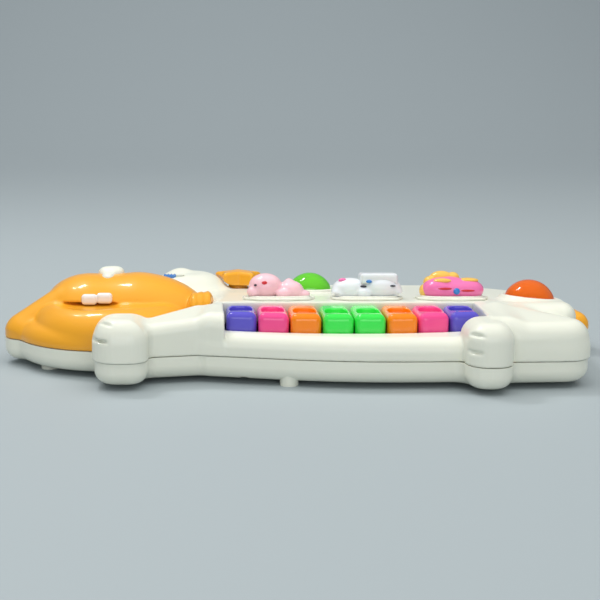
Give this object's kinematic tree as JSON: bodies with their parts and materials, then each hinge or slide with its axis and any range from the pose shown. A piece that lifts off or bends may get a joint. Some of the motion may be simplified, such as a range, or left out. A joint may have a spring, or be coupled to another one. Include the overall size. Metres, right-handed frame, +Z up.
{
  "type": "toy piano",
  "caption": "Battery toy piano shaped like a lying animal: low white case with paws and orange head, coloured keys in a bowed row, animal push buttons and light domes.",
  "frame": {"origin": "middle of the bounding box at the bottom of the peg feet", "axes": "+X from the head to the tail, +Y from the key side to the back, +Z up"},
  "size_m": [0.394, 0.226, 0.0602],
  "materials": {
    "white_abs": "glossy moulded ABS",
    "orange_abs": "glossy moulded ABS",
    "blue_abs": "glossy moulded ABS",
    "pink_abs": "glossy moulded ABS",
    "yellow_abs": "glossy moulded ABS",
    "key_purple": "glossy moulded ABS",
    "key_pink": "glossy moulded ABS",
    "key_orange": "glossy moulded ABS",
    "key_green": "glossy moulded ABS",
    "green_clear": "tinted see-through styrene",
    "orange_clear": "tinted see-through styrene",
    "lamp_clear": "clear epoxy",
    "black_plastic": "matt moulded",
    "board_green": "printed circuit board",
    "rubber_grey": "soft silicone rubber",
    "steel": "plain zinc-plated",
    "steel_dark": "dark ferrite and plate",
    "paper_black": "pressed paper",
    "battery_skin": "printed shrink sleeve, plain"
  },
  "bodies": {
    "case": {"batteries": "battery_skin", "battery_contacts": "steel", "board_screws": "steel", "button_pads": "rubber_grey", "case_screws": "steel", "eye_left": "white_abs", "eye_right": "white_abs", "head_cover": "orange_abs", "iris_left": "blue_abs", "iris_right": "blue_abs", "key_board": "board_green", "key_pad": "rubber_grey", "key_rod": "steel", "lamp": "lamp_clear", "lens_orange": "orange_clear", "lower_shell": "white_abs", "main_board": "board_green", "nose": "white_abs", "plate_pink": "white_abs", "plate_white": "white_abs", "plate_yellow": "white_abs", "sound_chip": "black_plastic", "speaker_cone": "paper_black", "speaker_frame": "steel", "speaker_magnet": "steel_dark", "switch_body": "black_plastic", "tail_cover": "orange_abs", "teeth": "white_abs", "upper_shell": "white_abs"},
    "key_1_body": {"key_1": "key_purple"},
    "key_2_body": {"key_2": "key_pink"},
    "key_3_body": {"key_3": "key_orange"},
    "key_4_body": {"key_4": "key_green"},
    "key_5_body": {"key_5": "key_green"},
    "key_6_body": {"key_6": "key_orange"},
    "key_7_body": {"key_7": "key_pink"},
    "key_8_body": {"key_8": "key_purple"},
    "button_pink_body": {"button_pink": "pink_abs"},
    "button_white_body": {"button_white": "white_abs"},
    "button_yellow_body": {"button_yellow": "yellow_abs"},
    "dome_green_body": {"dome_green": "green_clear"},
    "star_button_body": {"star_button": "orange_abs"},
    "switch_knob_body": {"switch_knob": "blue_abs"},
    "battery_door_body": {"battery_door": "white_abs"}
  },
  "joints": [
    {"name": "key_1_press", "type": "hinge", "parent": "case", "child": "key_1_body", "pos_m": [0, -0.03, 0.032], "axis": [1, 0, 0], "range_deg": [0, 3.2], "stiffness_Nm_per_rad": 0.12, "springref_deg": -6.88},
    {"name": "key_2_press", "type": "hinge", "parent": "case", "child": "key_2_body", "pos_m": [0, -0.03, 0.032], "axis": [1, 0, 0], "range_deg": [0, 3.2], "stiffness_Nm_per_rad": 0.12, "springref_deg": -6.88},
    {"name": "key_3_press", "type": "hinge", "parent": "case", "child": "key_3_body", "pos_m": [0, -0.03, 0.032], "axis": [1, 0, 0], "range_deg": [0, 3.2], "stiffness_Nm_per_rad": 0.12, "springref_deg": -6.88},
    {"name": "key_4_press", "type": "hinge", "parent": "case", "child": "key_4_body", "pos_m": [0, -0.03, 0.032], "axis": [1, 0, 0], "range_deg": [0, 3.2], "stiffness_Nm_per_rad": 0.12, "springref_deg": -6.88},
    {"name": "key_5_press", "type": "hinge", "parent": "case", "child": "key_5_body", "pos_m": [0, -0.03, 0.032], "axis": [1, 0, 0], "range_deg": [0, 3.2], "stiffness_Nm_per_rad": 0.12, "springref_deg": -6.88},
    {"name": "key_6_press", "type": "hinge", "parent": "case", "child": "key_6_body", "pos_m": [0, -0.03, 0.032], "axis": [1, 0, 0], "range_deg": [0, 3.2], "stiffness_Nm_per_rad": 0.12, "springref_deg": -6.88},
    {"name": "key_7_press", "type": "hinge", "parent": "case", "child": "key_7_body", "pos_m": [0, -0.03, 0.032], "axis": [1, 0, 0], "range_deg": [0, 3.2], "stiffness_Nm_per_rad": 0.12, "springref_deg": -6.88},
    {"name": "key_8_press", "type": "hinge", "parent": "case", "child": "key_8_body", "pos_m": [0, -0.03, 0.032], "axis": [1, 0, 0], "range_deg": [0, 3.2], "stiffness_Nm_per_rad": 0.12, "springref_deg": -6.88},
    {"name": "button_pink_press", "type": "slide", "parent": "case", "child": "button_pink_body", "axis": [0, -0.0896, -0.996], "range_m": [0, 0.002], "stiffness_N_per_m": 300, "springref_m": -0.003},
    {"name": "button_white_press", "type": "slide", "parent": "case", "child": "button_white_body", "axis": [0, -0.0896, -0.996], "range_m": [0, 0.002], "stiffness_N_per_m": 300, "springref_m": -0.003},
    {"name": "button_yellow_press", "type": "slide", "parent": "case", "child": "button_yellow_body", "axis": [0, -0.0896, -0.996], "range_m": [0, 0.002], "stiffness_N_per_m": 300, "springref_m": -0.003},
    {"name": "dome_green_press", "type": "slide", "parent": "case", "child": "dome_green_body", "axis": [0, -0.0896, -0.996], "range_m": [0, 0.002], "stiffness_N_per_m": 300, "springref_m": -0.003},
    {"name": "star_button_press", "type": "slide", "parent": "case", "child": "star_button_body", "axis": [0, -0.0896, -0.996], "range_m": [0, 0.002], "stiffness_N_per_m": 300, "springref_m": -0.003},
    {"name": "switch_slide", "type": "slide", "parent": "case", "child": "switch_knob_body", "axis": [1, 0, 0], "range_m": [0, 0.005]},
    {"name": "battery_door_hinge", "type": "hinge", "parent": "case", "child": "battery_door_body", "pos_m": [0.0879, 0.038, 0.004], "axis": [0, 1, 0], "range_deg": [0, 75]}
  ]
}
